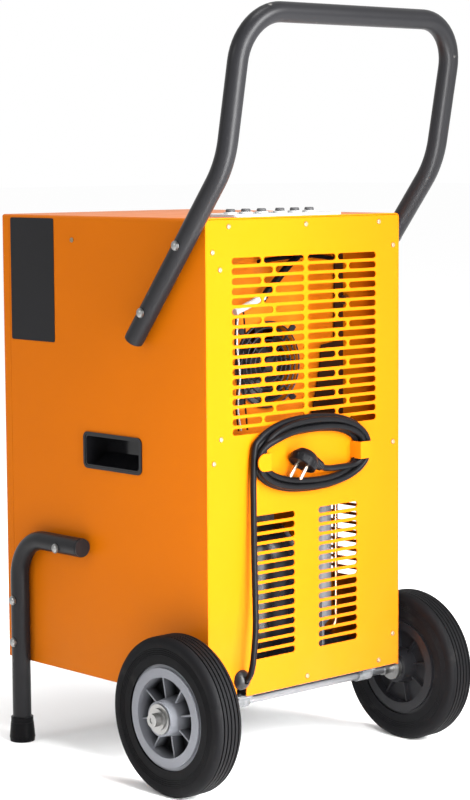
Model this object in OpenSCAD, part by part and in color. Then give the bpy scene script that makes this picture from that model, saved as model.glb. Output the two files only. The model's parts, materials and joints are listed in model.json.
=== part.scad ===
// Portable commercial dehumidifier on two wheels and two tube legs.
// Millimetres, +Z up. The front with the air inlet and the water tank faces -Y.
// The back with the outlet grille and the cord hooks faces +Y.
// Pieces are drawn in the case's own frame, where z = 0 is the case bottom,
// and place() moves them so that the floor is z = 0 and the whole is centred.

/* [Part] */
// Which node to draw

/* [Case] */
// Case width along X
case_w = 340; // [300:1:380]
// Case depth along Y
case_d = 408; // [370:1:440]
// Case height
case_h = 600; // [540:1:660]
// Sheet metal thickness
sheet = 1.5; // [1:0.1:2]
// Rounding of the long top edges
top_r = 6; // [4:0.5:10]
// How far the front panel wraps round the sides
wrap = 16; // [10:1:24]

/* [Grilles] */
// Height of one slot
slot_h = 8.4; // [6:0.1:9]
// Distance between slot rows
slot_pitch = 12.4; // [11:0.1:16]
// Rows in the upper outlet grille
upper_rows = 18; // [14:1:18]
// Rows in each lower grille
lower_rows = 15; // [10:1:15]

/* [Push handle and legs] */
// Outside diameter of the bent tubes
tube_d = 25; // [20:0.5:28]
// Tube wall
tube_t = 1.5; // [1:0.1:2.5]
// Bend radius of the handle's two top corners
handle_r = 60; // [45:1:80]

/* [Wheels] */
// Wheel diameter over the tread
wheel_d = 200; // [180:1:210]
// Tyre width
tyre_w = 41; // [36:1:46]
// Gap between the case side and the tyre
wheel_gap = 17; // [14:1:22]
// Wheel centre measured back from the case centre
wheel_y = 187; // [170:1:195]
// Axle below the case bottom
axle_drop = 8; // [7:0.5:10]

/* [Cord] */
// Mains cord diameter
cord_d = 8; // [6:0.1:9]

/* [Hidden] */
$fn = 48;
hw = case_w / 2;
hd = case_d / 2;
e = 0.01;
floor_z = -(axle_drop + wheel_d / 2);
tube_r = tube_d / 2;
tube_x = hw + 0.3 + tube_r;
top_bar_z = case_h + 244;
top_bar_y = 288.6;
y_front = -hd - 4;
y_back = top_bar_y + tube_r;
shift_y = -(y_front + y_back) / 2;
tyre_x = hw + wheel_gap;
wheel_mid = tyre_x + tyre_w / 2;
axle_r = 6;
hub_end = tyre_x + tyre_w + 8;
slot_r = slot_h / 2;
deck_z = 262;
fan_x = -29;
fan_z = 404;
fan_y = 98.5;
fan_r = 54;
tank_x = 136;
coil_x = -7;
coil_z = 300;
coil_y = hd + 8.7;
hook_x = 80.7;
hook_z = 297;
hook_out = 19;
gland_x = 114.5;
gland_z = 24;
plate_x = 17;
plate_y = 151;
button_y = 162;
button_x = [90, 64, 37, 5, -21, -47];
handle_holes = [[111.5, 483], [178, 567.5]];
leg_y = -159.3;
leg_bend = 54;
leg_run_len = 78.3;
leg_top = 171;
leg_holes = [[leg_y, 28], [leg_y, 85], [-65.5, 167]];

// cord route, points chosen by hand in the case frame
lead_pts = [[114.5, 206, 24], [114.6, 214, 26], [115.5, 221, 33], [116.5, 226, 44],
    [116, 228, 58], [114, 228, 74], [110.5, 226, 94], [107.5, 222.5, 120],
    [105.5, 219.5, 150], [104, 217, 185], [102.5, 215, 220], [101.2, 213.8, 250],
    [100.2, 213.2, 275], [99.6, 213, 292], [98.4, 213, 306]];
tail_pts = [[-6, 224.3, 283.6], [-15, 223.4, 280.6], [-28, 221, 279.2], [-42, 218, 278.6],
    [-56, 215.4, 278.2], [-68, 213.4, 277.8], [-75, 213, 277.2]];

module place() {
    translate([0, shift_y, -floor_z]) children();
}

module rbox2(w, h, r) {
    square([w - 2 * r, h], center = true);
    square([w, h - 2 * r], center = true);
    for (sx = [-1, 1]) for (sy = [-1, 1])
        translate([sx * (w / 2 - r), sy * (h / 2 - r)]) circle(r = r);
}

// a plate standing in XZ, front face at y0, back face at y0 + t
module xz_plate(y0, t) {
    translate([0, y0 + t, 0]) rotate([90, 0, 0]) linear_extrude(t) children();
}

// a plate standing in YZ, its near face at x0 and thickness t towards +X
module yz_plate(x0, t) {
    translate([x0, 0, 0]) rotate([90, 0, 90]) linear_extrude(t) children();
}

module rod_x(x0, x1, r) {
    translate([x0, 0, 0]) rotate([0, 90, 0]) cylinder(h = x1 - x0, r = r);
}

module rod_y(y0, y1, r) {
    translate([0, y1, 0]) rotate([90, 0, 0]) cylinder(h = y1 - y0, r = r);
}

module both() {
    children();
    mirror([1, 0, 0]) children();
}

// outline of the wrapped cover seen from the back: two sides and the top
module wrap_outline(inset) {
    w = hw - inset;
    h = case_h - inset;
    r = top_r - inset;
    translate([-w, 0]) square([2 * w, h - r]);
    translate([-w + r, 0]) square([2 * (w - r), h]);
    for (s = [-1, 1]) translate([s * (w - r), h - r]) circle(r = r);
}

// ---------- case ----------

module case_wrap() {
    color([0.9, 0.24, 0.01]) difference() {
        union() {
            xz_plate(-hd + wrap + 0.4, case_d - wrap - 0.4) difference() {
                wrap_outline(0);
                translate([0, -e]) wrap_outline(sheet);
            }
            // back flanges that carry the rear panel
            both() translate([hw - 20, hd - 3.1, 2]) cube([19.5, 1.4, case_h - 12]);
            translate([-hw + 12, hd - 3.1, case_h - 20]) cube([case_w - 24, 1.4, 19.5]);
            // joggled strips under the front panel's wraps
            both() translate([hw - sheet - 1.5, -hd + 5, 6]) cube([1.4, 26, case_h - 16]);
            both() translate([hw - sheet - 1.5, -hd + 18, 6]) cube([1.6, 6, case_h - 16]);
        }
        // pocket handle holes
        yz_plate(-hw - 5, case_w + 10) translate([24, 298.5]) rbox2(110, 42, 6);
        // vent in the right side of the lower compartment
        for (i = [0:8]) translate([-hw - 5, 58, 113 + i * slot_pitch - slot_r]) slot_y(74);
        // holes for the handle and leg bolts
        for (p = concat(handle_holes, leg_holes))
            translate([0, p[0], p[1]]) rod_x(-hw - 2, hw + 2, 3.5);
        // opening under the control plate
        translate([plate_x - 89, plate_y - 34, case_h - 10]) cube([178, 68, 20]);
    }
}

module slot_y(len) {
    translate([0, slot_r, 0]) cube([10, len - slot_h, slot_h]);
    for (y = [slot_r, len - slot_r]) translate([0, y, slot_r]) rod_x(0, 10, slot_r);
}

module slot2(x0, x1) {
    translate([x0 + slot_r, -slot_r]) square([x1 - x0 - slot_h, slot_h]);
    for (x = [x0 + slot_r, x1 - slot_r]) translate([x, 0]) circle(r = slot_r, $fn = 24);
}

module rear_panel() {
    color([1, 0.55, 0.04]) xz_plate(hd - sheet, sheet) difference() {
        translate([-hw + 1.7, 1.8]) square([case_w - 3.4, case_h - 4]);
        for (i = [0:upper_rows - 1]) translate([0, 336 + i * slot_pitch]) {
            s = i % 2 == 0 ? 1 : -1;
            slot2(-127, -67 - 10 * s);
            slot2(-63 - 10 * s, -3);
            slot2(3, 63 - 10 * s);
            slot2(67 - 10 * s, 127);
        }
        for (i = [0:lower_rows - 1]) translate([0, 50 + i * slot_pitch]) {
            slot2(-92, -21);
            slot2(21, 92);
        }
        // open slot for the cord gland
        translate([gland_x, gland_z]) circle(r = 8.3);
        translate([gland_x - 8.3, 0]) square([16.6, gland_z]);
    }
}

module front_panel() {
    color([0.9, 0.24, 0.01]) difference() {
        intersection() {
            xz_plate(-hd, wrap) wrap_outline(0);
            union() {
                translate([-hw + 3, -hd, 0]) cube([case_w - 6, wrap, case_h]);
                translate([-hw, -hd + 3, 0]) cube([case_w, wrap - 3, case_h]);
                both() translate([hw - 3, -hd + 3, 0]) cylinder(h = case_h, r = 3);
            }
        }
        xz_plate(-hd + sheet, wrap) translate([0, 1]) intersection() {
            translate([0, -2]) wrap_outline(sheet);
            translate([-hw, 0.5]) square([case_w, case_h - 3]);
        }
        // air inlet and tank openings
        xz_plate(-hd - 2, 8) translate([0, 445]) rbox2(276, 236, 6);
        xz_plate(-hd - 2, 8) translate([0, 131]) rbox2(280, 234, 6);
    }
}

module base_pan() {
    color([0.55, 0.57, 0.6]) difference() {
        union() {
            translate([-hw + 1.8, -hd + 20, 0]) cube([case_w - 3.6, case_d - 24, sheet]);
            both() translate([hw - 3.2, -hd + 40, 0]) cube([1.4, case_d - 48, 24]);
            // two rails the tank slides on
            both() translate([90, -hd + 20, sheet - e]) cube([16, 168, 14.5]);
        }
        for (p = [[-80, -60], [0, -60], [60, 150]])
            translate([p[0], p[1], -1]) cylinder(h = 5, r = 4.2);
    }
}

module mid_deck() {
    color([0.8, 0.25, 0.03]) difference() {
        union() {
            translate([-hw + 3.4, -hd + 22, deck_z]) cube([case_w - 6.8, case_d - 28, sheet]);
            both() translate([hw - 3.6, -hd + 40, deck_z - 14]) cube([1.4, case_d - 46, 14.2]);
        }
        translate([60, -118, deck_z - 2]) cylinder(h = 6, r = 9);
        // ways through for the two copper pipes
        translate([-118, 40, deck_z - 2]) cylinder(h = 6, r = 7);
        translate([-126, 60, deck_z - 2]) cylinder(h = 6, r = 8);
    }
}

module tank_bay() {
    color([0.62, 0.64, 0.66]) {
        both() translate([tank_x + 9, -hd + 22, sheet + 0.2]) cube([1.2, 172, deck_z - 2]);
        translate([-tank_x - 10, -11.4, sheet + 0.2]) cube([2 * tank_x + 20, 1.2, deck_z - 2]);
    }
}

module hook_flat(len, rounded) {
    // web standing out of the panel and the flap at its end
    cube([sheet, hook_out, 22]);
    translate([0, hook_out - sheet, 0]) {
        if (rounded) {
            cube([len - 8, sheet, 22]);
            translate([len - 11, sheet, 11]) rotate([90, 0, 0]) cylinder(h = sheet, r = 11);
        }
        if (!rounded) cube([len, sheet, 22]);
    }
}

module cord_hooks() {
    color([1, 0.55, 0.04]) {
        translate([hook_x - sheet, hd, hook_z - 11]) hook_flat(22, true);
        mirror([1, 0, 0]) translate([hook_x - sheet, hd, hook_z - 11]) hook_flat(22, false);
    }
}

// ---------- control panel ----------

module control_plate() {
    color([0.86, 0.87, 0.88]) translate([plate_x, 0, case_h + 0.1]) difference() {
        union() {
            translate([0, plate_y, 0]) linear_extrude(3) rbox2(186, 88, 7);
            for (x = button_x)
                translate([x - plate_x, button_y, 2.9]) cylinder(h = 2.6, r = 8.6);
            // skirt that drops into the case opening
            translate([0, plate_y, -9]) linear_extrude(9.1) difference() {
                square([176, 66], center = true);
                square([172, 62], center = true);
            }
        }
        for (x = button_x)
            translate([x - plate_x, button_y, -1]) cylinder(h = 10, r = 6.3);
        translate([-34, 119, 1.4]) cube([68, 24, 5]);
    }
}

module display_window() {
    color([0.03, 0.05, 0.06]) translate([plate_x - 33.6, 119.4, case_h + 1.5])
        cube([67.2, 23.2, 1.9]);
}

module push_button(i) {
    color([0.09, 0.09, 0.1]) translate([button_x[i], button_y, case_h - 6]) {
        translate([0, 0, 3]) cylinder(h = 11.4, r = 6);
        translate([0, 0, 3]) cylinder(h = 2, r = 8);
        // domed top
        translate([0, 0, 14.3]) cylinder(h = 1.2, r1 = 6, r2 = 5);
    }
}

// ---------- push handle ----------

module tube_seg(len) {
    difference() {
        cylinder(h = len, r = tube_r);
        translate([0, 0, -1]) cylinder(h = len + 2, r = tube_r - tube_t);
    }
}

// round bar bend: starts at the origin going +Z and turns towards +X by ang
module bar_bend(bend, ang, r) {
    translate([bend, 0, 0]) rotate([90, 0, 0]) rotate([0, 0, 180 - ang])
        rotate_extrude(angle = ang) translate([bend, 0]) circle(r = r);
}

// the handle's side view: lower end, knee and top bar, as [y, z]
low_end = [83.6, 447.5];
knee = [254.5, 665.5];
top_bar = [top_bar_y, top_bar_z];
low_vec = knee - low_end;
up_vec = top_bar - knee;
lean_low = atan2(low_vec[0], low_vec[1]);
lean_up = atan2(up_vec[0], up_vec[1]);
knee_turn = lean_low - lean_up;
knee_r = 120;
knee_t = knee_r * tan(knee_turn / 2);
low_len = norm(low_vec) - knee_t;
up_len = norm(up_vec) - knee_t - handle_r;

// solid run of the handle at radius r, its lower ends drawn out by extra
module handle_run(r, extra) {
    both() {
        translate([tube_x, low_end[0], low_end[1]]) rotate([-lean_low, 0, 0]) {
            translate([0, 0, -extra]) cylinder(h = low_len + extra, r = r);
            translate([0, 0, low_len]) rotate([0, 0, -90]) bar_bend(knee_r, knee_turn, r);
        }
        translate([tube_x, knee[0], knee[1]]) rotate([-lean_up, 0, 0])
            translate([0, 0, knee_t]) {
                cylinder(h = up_len, r = r);
                translate([0, 0, up_len]) rotate([0, 0, 180]) bar_bend(handle_r, 90, r);
            }
    }
    translate([0, top_bar[0], top_bar[1]])
        rod_x(-tube_x + handle_r, tube_x - handle_r, r);
}

module push_handle() {
    color([0.07, 0.07, 0.08]) difference() {
        handle_run(tube_r, 0);
        handle_run(tube_r - tube_t, 2);
        for (p = handle_holes) both()
            translate([0, p[0], p[1]]) rod_x(hw - 2, hw + tube_d + 3, 3.4);
    }
}

module dome_bolt(x_seat, reach) {
    // head outside at +X of x_seat, shank towards -X
    rod_x(x_seat - reach, x_seat + 0.5, 3.3);
    translate([x_seat, 0, 0]) rotate([0, 90, 0]) {
        cylinder(h = 1.2, r = 6.2);
        intersection() {
            translate([0, 0, -3.4]) sphere(r = 8);
            translate([0, 0, 1]) cylinder(h = 8, r = 5.4);
        }
    }
    // nut inside the case
    translate([x_seat - reach + 2, 0, 0]) rotate([0, 90, 0]) cylinder(h = 6, r = 6.5, $fn = 6);
}

module handle_bolts() {
    color([0.75, 0.76, 0.78]) both() for (p = handle_holes)
        translate([0, p[0], p[1]]) dome_bolt(tube_x + tube_r, tube_d + 12);
}

// ---------- legs ----------

// solid run of a leg at radius r, both ends drawn out by extra
module leg_run(r, extra) {
    z0 = floor_z + 6.2 - extra;
    translate([0, 0, z0]) cylinder(h = leg_top - leg_bend - z0, r = r);
    translate([0, 0, leg_top - leg_bend]) rotate([0, 0, 90]) bar_bend(leg_bend, 90, r);
    translate([0, leg_bend, leg_top]) rotate([-90, 0, 0]) cylinder(h = leg_run_len + extra, r = r);
}

module leg() {
    difference() {
        translate([tube_x, leg_y, 0]) {
            leg_run(tube_r, 0);
        }
        translate([tube_x, leg_y, 0]) leg_run(tube_r - tube_t, 2);
        for (p = leg_holes)
            translate([0, p[0], p[1]]) rod_x(hw - 2, hw + tube_d + 3, 3.4);
    }
}

module leg_left() {
    color([0.06, 0.06, 0.07]) leg();
}

module leg_right() {
    color([0.06, 0.06, 0.07]) mirror([1, 0, 0]) leg();
}

module leg_plugs() {
    color([0.05, 0.05, 0.05]) both() translate([tube_x, leg_y + leg_bend + leg_run_len + 0.1, leg_top]) {
        rod_y(0, 2.6, tube_r - 0.6);
        rod_y(-9, 0.2, tube_r - tube_t - 0.1);
    }
}

module foot() {
    translate([tube_x, leg_y, floor_z]) difference() {
        union() {
            cylinder(h = 6, r1 = 16.4, r2 = 17.3);
            translate([0, 0, 5.9]) cylinder(h = 20, r1 = 17.3, r2 = 15.4);
            translate([0, 0, 25.8]) cylinder(h = 7.2, r = 15);
        }
        translate([0, 0, 6]) cylinder(h = 40, r = tube_r + 0.05);
    }
}

module foot_left() {
    color([0.04, 0.04, 0.04]) foot();
}

module foot_right() {
    color([0.04, 0.04, 0.04]) mirror([1, 0, 0]) foot();
}

module leg_bolts() {
    color([0.75, 0.76, 0.78]) both() for (p = leg_holes)
        translate([0, p[0], p[1]]) dome_bolt(tube_x + tube_r, tube_d + 12);
}

// ---------- wheels ----------

module axle() {
    color([0.6, 0.61, 0.63]) translate([0, wheel_y, -axle_drop])
        rod_x(-hub_end - 9, hub_end + 9, axle_r);
}

module axle_clamps() {
    color([0.66, 0.67, 0.69]) for (x = [-118, 104]) translate([x, wheel_y, 0]) {
        difference() {
            union() {
                translate([-12, -22, -2.2]) cube([24, 36, 2.1]);
                translate([0, 0, -axle_drop]) rod_x(-12, 12, axle_r + 2.4);
            }
            translate([0, 0, -axle_drop]) rod_x(-13, 13, axle_r + 0.02);
            translate([-13, -30, -0.1]) cube([26, 60, 20]);
        }
        // bolt up into the base, head below
        translate([0, -15, -6]) cylinder(h = 4, r = 6);
        translate([0, -15, -3]) cylinder(h = 2.9, r = 3);
    }
}

module tyre() {
    translate([tyre_x, 0, 0]) rotate([0, 90, 0]) rotate_extrude($fn = 96) difference() {
        union() {
            translate([66, 1]) square([wheel_d / 2 - 74, tyre_w - 2]);
            translate([66, 8]) square([wheel_d / 2 - 66, tyre_w - 16]);
            for (z = [8.5, tyre_w - 8.5]) translate([wheel_d / 2 - 8.5, z]) circle(r = 8.5);
            translate([66, 3]) square([26, tyre_w - 6]);
            translate([80, 0]) square([wheel_d / 2 - 88.5, tyre_w]);
        }
        // tread grooves
        for (z = [9, 14.75, 20.5, 26.25, 32])
            translate([wheel_d / 2 - 3, z - 1]) square([5, 2]);
        // the rim's seat
        translate([60, -1]) square([6.05, tyre_w + 2]);
    }
    translate([tyre_x, 0, 0]) rotate([0, 90, 0]) rotate_extrude($fn = 96)
        for (z = [0.8, tyre_w - 3.7]) translate([61.8, z]) square([6, 2.9]);
}

module rim() {
    translate([tyre_x, 0, 0]) rotate([0, 90, 0]) difference() {
        union() {
            rotate_extrude($fn = 96) {
                // outer ring with the two flanges that hold the tyre
                translate([50, 2]) square([4, tyre_w - 4]);
                translate([52, 4]) square([14, tyre_w - 8]);
                translate([50, tyre_w - 5]) square([11.5, 5]);
                translate([50, 0]) square([11.5, 5]);
                // web disc
                translate([18, tyre_w / 2 - 8]) square([34, 4]);
                // tapered hub
                polygon([[axle_r + 0.05, -8], [21, -8], [24, tyre_w / 2 - 6],
                    [26, tyre_w / 2 - 6], [21.5, tyre_w + 8], [axle_r + 0.05, tyre_w + 8]]);
            }
            for (i = [0:7]) rotate([0, 0, i * 45 + 12]) {
                translate([20, -1.1, tyre_w / 2 - 5]) cube([31, 2.2, tyre_w / 2 - 2]);
                translate([20, -1.1, 6]) cube([31, 2.2, 8]);
            }
        }
        // shallow seat for the washer
        translate([0, 0, tyre_w + 6.8]) cylinder(h = 3, r = 19.4);
    }
}

module on_axle() {
    translate([0, wheel_y, -axle_drop]) children();
}

module tyre_left() {
    color([0.035, 0.035, 0.035]) on_axle() tyre();
}

module rim_left() {
    color([0.45, 0.46, 0.5]) on_axle() rim();
}

module tyre_right() {
    color([0.035, 0.035, 0.035]) mirror([1, 0, 0]) on_axle() tyre();
}

module rim_right() {
    color([0.45, 0.46, 0.5]) mirror([1, 0, 0]) on_axle() rim();
}

module ring_x(x0, x1, r_out, r_in) {
    difference() {
        rod_x(x0, x1, r_out);
        rod_x(x0 - 1, x1 + 1, r_in);
    }
}

module axle_spacers() {
    color([0.7, 0.71, 0.73]) on_axle() both() {
        ring_x(hw - 14, hw + 2, 7.8, axle_r + 0.02);
        ring_x(hw + 2.1, tyre_x - 8.4, 16, axle_r + 0.02);
    }
}

module axle_washers() {
    color([0.8, 0.8, 0.81]) on_axle() both()
        ring_x(hub_end - 0.9, hub_end + 1.2, 18.8, axle_r + 0.02);
}

module axle_nuts() {
    color([0.82, 0.82, 0.83]) on_axle() both() difference() {
        union() {
            rod_x(hub_end + 1.3, hub_end + 4, 13.6);
            rod_x(hub_end + 3.9, hub_end + 12.4, 8.4);
        }
        rod_x(hub_end, hub_end + 9.1, axle_r + 0.02);
        rod_x(hub_end + 11.4, hub_end + 14, 3.6);
    }
}

// ---------- pocket handles ----------

module pocket() {
    difference() {
        union() {
            yz_plate(hw + 0.1, 1.8) translate([24, 298.5]) rbox2(116, 47.5, 8);
            yz_plate(hw - 36, 36.2) translate([24, 298.5]) rbox2(109, 41, 5.5);
        }
        // hollow: a straight mouth and a roomier back that slopes
        yz_plate(hw - 10, 14) translate([24, 298.5]) rbox2(105, 37, 4.5);
        translate([hw - 34, -28.5, 280]) cube([26, 105, 37]);
        // chamfer inside the frame
        yz_plate(hw + 1.2, 2) translate([24, 298.5]) rbox2(109, 41, 5.5);
    }
    // sloped bottom of the pocket
    translate([hw - 34.5, -29, 279.5]) rotate([90, 0, 0]) mirror([0, 0, 1])
        linear_extrude(106) polygon([[0, 0], [24, 0], [0, 14]]);
}

module pocket_left() {
    color([0.03, 0.03, 0.035]) pocket();
}

module pocket_right() {
    color([0.03, 0.03, 0.035]) mirror([1, 0, 0]) pocket();
}

// ---------- mains cord ----------

module cord_gland() {
    color([0.03, 0.03, 0.03]) translate([gland_x, 0, gland_z]) difference() {
        union() {
            rod_y(hd - 14, hd + 1, 8);
            rod_y(hd - 12, hd - 5, 11);
            intersection() {
                translate([0, hd - 3, 0]) sphere(r = 13.4);
                rod_y(hd + 0.05, hd + 12, 14);
            }
        }
        rod_y(hd - 20, hd + 20, cord_d / 2 + 0.1);
    }
}

function cross3(a, b) = [a[1] * b[2] - a[2] * b[1], a[2] * b[0] - a[0] * b[2],
    a[0] * b[1] - a[1] * b[0]];
function unit(v) = v / norm(v);

module sweep(pts, r, n = 8) {
    m = len(pts);
    rings = [for (i = [0:m - 1]) let(
            d = unit(pts[min(i + 1, m - 1)] - pts[max(i - 1, 0)]),
            u = unit(cross3([1, 0.01, 0.013], d)),
            v = cross3(d, u))
        for (k = [0:n - 1]) pts[i] + r * (cos(360 * k / n) * u + sin(360 * k / n) * v)];
    sides = [for (i = [0:m - 2]) for (k = [0:n - 1])
        [i * n + k, i * n + (k + 1) % n, (i + 1) * n + (k + 1) % n, (i + 1) * n + k]];
    caps = [[for (k = [0:n - 1]) n - 1 - k], [for (k = [0:n - 1]) (m - 1) * n + k]];
    polyhedron(points = rings, faces = concat([for (s = sides) [s[3], s[2], s[1], s[0]]],
        [for (c = caps) [for (k = [0:n - 1]) c[n - 1 - k]]]), convexity = 6);
}

module cord_lead() {
    color([0.05, 0.05, 0.06]) {
        sweep(lead_pts, cord_d / 2, 10);
        sweep(tail_pts, cord_d / 2, 10);
    }
}

module stadium2(a, b) {
    // a stadium of half width a and half height b
    square([2 * (a - b), 2 * b], center = true);
    for (s = [-1, 1]) translate([s * (a - b), 0]) circle(r = b, $fn = 64);
}

module cord_coil() {
    color([0.05, 0.05, 0.06]) translate([0, 0, coil_z]) xz_plate(coil_y - 8.2, 16.2)
        translate([coil_x, 0]) difference() {
            stadium2(102.5, 50);
            translate([-coil_x, -3]) stadium2(81.3, 27);
            translate([-coil_x, hook_z - coil_z]) square([162.6, 24], center = true);
        }
}

module plug_frame() {
    // local -Z is the way the pins point: out to the left and down
    translate([20, 224.3, 299]) rotate([0, -38, 0]) children();
}

module plug_body() {
    color([0.04, 0.04, 0.045]) plug_frame() difference() {
        union() {
            translate([0, 0, -14]) cylinder(h = 12, r = 18.5);
            translate([0, 0, -2.1]) cylinder(h = 8.1, r1 = 18, r2 = 12);
            translate([-13, -11, -8]) cube([26, 22, 14]);
            translate([-9.4, 0, -0.3]) rotate([0, -78.6, 0]) cylinder(h = 21, r1 = 9, r2 = 5.4);
        }
        translate([0, 0, -15]) cylinder(h = 2.5, r = 15);
    }
}

module plug_pins() {
    color([0.8, 0.7, 0.45]) plug_frame() for (s = [-1, 1]) translate([0, s * 9.5, -31.4]) {
        cylinder(h = 19, r = 2.4);
        sphere(r = 2.4);
    }
}

// ---------- air side inside the case ----------

module fan_shroud() {
    color([0.85, 0.3, 0.03]) translate([0, fan_y, 0]) difference() {
        union() {
            translate([-hw + 2.4, 0, deck_z + 2]) cube([case_w - 4.8, sheet, 330]);
            translate([fan_x, 0, fan_z]) rod_y(-24, sheet, fan_r + 4.5);
            translate([-hw + 2.4, -12, deck_z + 2]) cube([case_w - 4.8, 12.2, sheet]);
        }
        translate([fan_x, 0, fan_z]) rod_y(-30, 10, fan_r + 2.5);
    }
}

module fan_motor() {
    color([0.12, 0.12, 0.13]) translate([fan_x, fan_y, fan_z]) {
        rod_y(-64, -30, 26);
        rod_y(-30.1, -6, 3.96);
        for (a = [0, 90, 180, 270]) rotate([0, a, 0]) {
            translate([20, -40, -3]) cube([fan_r - 11, 4, 6]);
            translate([fan_r + 5, -40, -3]) cube([4, 40, 6]);
        }
    }
}

module fan_blades() {
    color([0.05, 0.05, 0.055]) translate([fan_x, fan_y, fan_z]) {
        difference() {
            rod_y(-22, -5, 21);
            rod_y(-24, -2, 4.02);
            rod_y(-24, -12, 15);
            rod_y(-24, -2, 4.02);
        }
        difference() {
            rod_y(-22, -5, 7);
            rod_y(-24, -2, 4.02);
        }
        intersection() {
            difference() {
                rod_y(-22, -4, fan_r);
                rod_y(-30, 4, 20.5);
            }
            // slabs that stand out radially, each pitched about its own radius
            for (i = [0:6]) rotate([0, i * 360 / 7, 0]) translate([0, -13, 18])
                rotate([0, 0, 32]) translate([-17, -1, 0]) cube([34, 2, 40]);
        }
    }
}

module fan_guard() {
    color([0.04, 0.04, 0.045]) translate([fan_x, fan_y + 5, fan_z]) rotate([-90, 0, 0]) {
        for (r = [16, 24, 32, 40, 48, 56])
            rotate_extrude($fn = 64) translate([r, 0]) circle(r = 1.1, $fn = 16);
        for (a = [45, 135, 225, 315]) rotate([0, 0, a]) {
            translate([15, -1.1, -2.6]) cube([46, 2.2, 2]);
            translate([59, -4, -3.4]) cube([10, 8, 2.8]);
        }
        cylinder(h = 1.6, r = 8);
        for (a = [45, 225]) rotate([0, 0, a]) translate([6, -1.1, -1]) cube([11, 2.2, 2]);
    }
}

module finned_coil(y0, y1) {
    ym = (y0 + y1) / 2;
    for (i = [0:22]) translate([-132 + i * 12, y0, 334]) cube([0.8, y1 - y0, 228]);
    for (x = [-136, 134.5]) translate([x, y0 - 3, 301.7]) cube([1.5, y1 - y0 + 6, 264.3]);
    for (i = [0:8]) translate([0, ym, 346 + i * 25]) rod_x(-142, 142, 4.5);
    // return bends at alternate ends
    for (i = [0:7]) translate([i % 2 == 0 ? 142 : -142, ym, 358.5 + i * 25])
        rotate([90, 0, 0]) rotate([0, 0, i % 2 == 0 ? -90 : 90])
            rotate_extrude(angle = 180) translate([12.5, 0]) circle(r = 4.5);
}

module evaporator() {
    color([0.72, 0.73, 0.75]) finned_coil(-158, -132);
}

module condenser() {
    color([0.66, 0.67, 0.69]) finned_coil(-104, -78);
}

module drip_tray() {
    color([0.75, 0.76, 0.78]) difference() {
        union() {
            translate([-152, -168, 300]) cube([304, 112, 22]);
            translate([60, -118, 254]) cylinder(h = 48, r = 7);
            for (x = [-140, 128]) for (y = [-160, -76])
                translate([x, y, deck_z + sheet + 0.1]) cube([12, 12, 36.5]);
        }
        translate([-150.5, -166.5, 301.5]) cube([301, 109, 30]);
        translate([60, -118, 250]) cylinder(h = 60, r = 5);
    }
}

module compressor() {
    color([0.05, 0.05, 0.055]) translate([-20, 78, 0]) {
        translate([0, 0, 26]) cylinder(h = 118, r = 62);
        intersection() {
            translate([0, 0, 144]) sphere(r = 62);
            translate([0, 0, 143]) cylinder(h = 46, r = 63);
        }
        translate([0, 0, 20]) cylinder(h = 8, r1 = 50, r2 = 62);
        // three feet
        for (a = [16, 164, 270]) rotate([0, 0, a - 0]) translate([40, -16, 16])
            cube([44, 32, 5]);
        // terminal box
        translate([50, -20, 100]) cube([22, 40, 40]);
    }
}

module compressor_mounts() {
    color([0.04, 0.04, 0.04]) translate([-20, 78, 0]) for (a = [16, 164, 270])
        rotate([0, 0, a]) translate([72, 0, 0]) {
            translate([0, 0, sheet]) cylinder(h = 14.5, r = 11);
            translate([0, 0, 21]) cylinder(h = 2.5, r = 8);
        }
}

module pipe_up(x, y, z0, z1, r) {
    translate([x, y, z0]) cylinder(h = z1 - z0, r = r);
}

// quarter bend in the YZ plane about [y, z], from angle a0 on
module bend_yz(y, z, bend, r, a0) {
    translate([0, y, z]) rotate([90, 0, 90]) rotate([0, 0, a0])
        rotate_extrude(angle = 90) translate([bend, 0]) circle(r = r);
}

// quarter bend from coming down to going towards +X
module bend_foot(x, y, z, bend, r) {
    translate([x + bend, y, z]) rotate([90, 0, 0]) rotate([0, 0, 180])
        rotate_extrude(angle = 90) translate([bend, 0]) circle(r = r);
}

module copper_pipes() {
    color([0.72, 0.36, 0.2]) {
        // discharge pipe: compressor, up behind the grille, forward, up to the condenser
        translate([-104, 138, 46]) rod_x(0, 64, 3.2);
        bend_foot(-118, 138, 60, 14, 3.2);
        pipe_up(-118, 138, 60, 236, 3.2);
        translate([-118, 0, 0]) {
            bend_yz(124, 236, 14, 3.2, 0);
            translate([0, 0, 250]) rod_y(54, 124, 3.2);
            bend_yz(54, 264, 14, 3.2, 180);
            translate([0, 40, 264]) cylinder(h = 62, r = 3.2);
            bend_yz(26, 326, 14, 3.2, 0);
            translate([0, 0, 340]) rod_y(-85, 26, 3.2);
        }
        // suction pipe
        translate([-108, 60, 42]) rod_x(0, 28.8, 4);
        bend_foot(-126, 60, 60, 18, 4);
        pipe_up(-126, 60, 60, 353, 4);
        translate([-126, 0, 0]) {
            bend_yz(42, 353, 18, 4, 0);
            translate([0, 0, 371]) rod_y(-86.6, 42, 4);
        }
    }
}

module filter_drier() {
    color([0.6, 0.61, 0.64]) translate([-85, 146, 0]) {
        translate([0, 0, 66]) cylinder(h = 156, r = 12);
        translate([0, 0, 58]) cylinder(h = 8.1, r1 = 4, r2 = 12);
        translate([0, 0, 221.9]) cylinder(h = 8, r1 = 12, r2 = 4);
        pipe_up(0, 0, 229, 261, 3);
        // bracket standing on the base
        translate([-15, -15, sheet + 0.1]) cube([30, 30, 2]);
        difference() {
            translate([13, -15, sheet + 0.1]) cube([2, 30, 90]);
            // room for the discharge pipe
            translate([0, -8, 46]) rod_x(12, 16, 4.2);
        }
        translate([0, -15, 80]) cube([14, 30, 2]);
        pipe_up(0, 0, 3, 60, 3);
    }
}

// ---------- tank, inlet and filter ----------

tank_y0 = -hd + 36;
tank_y1 = -20;

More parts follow.
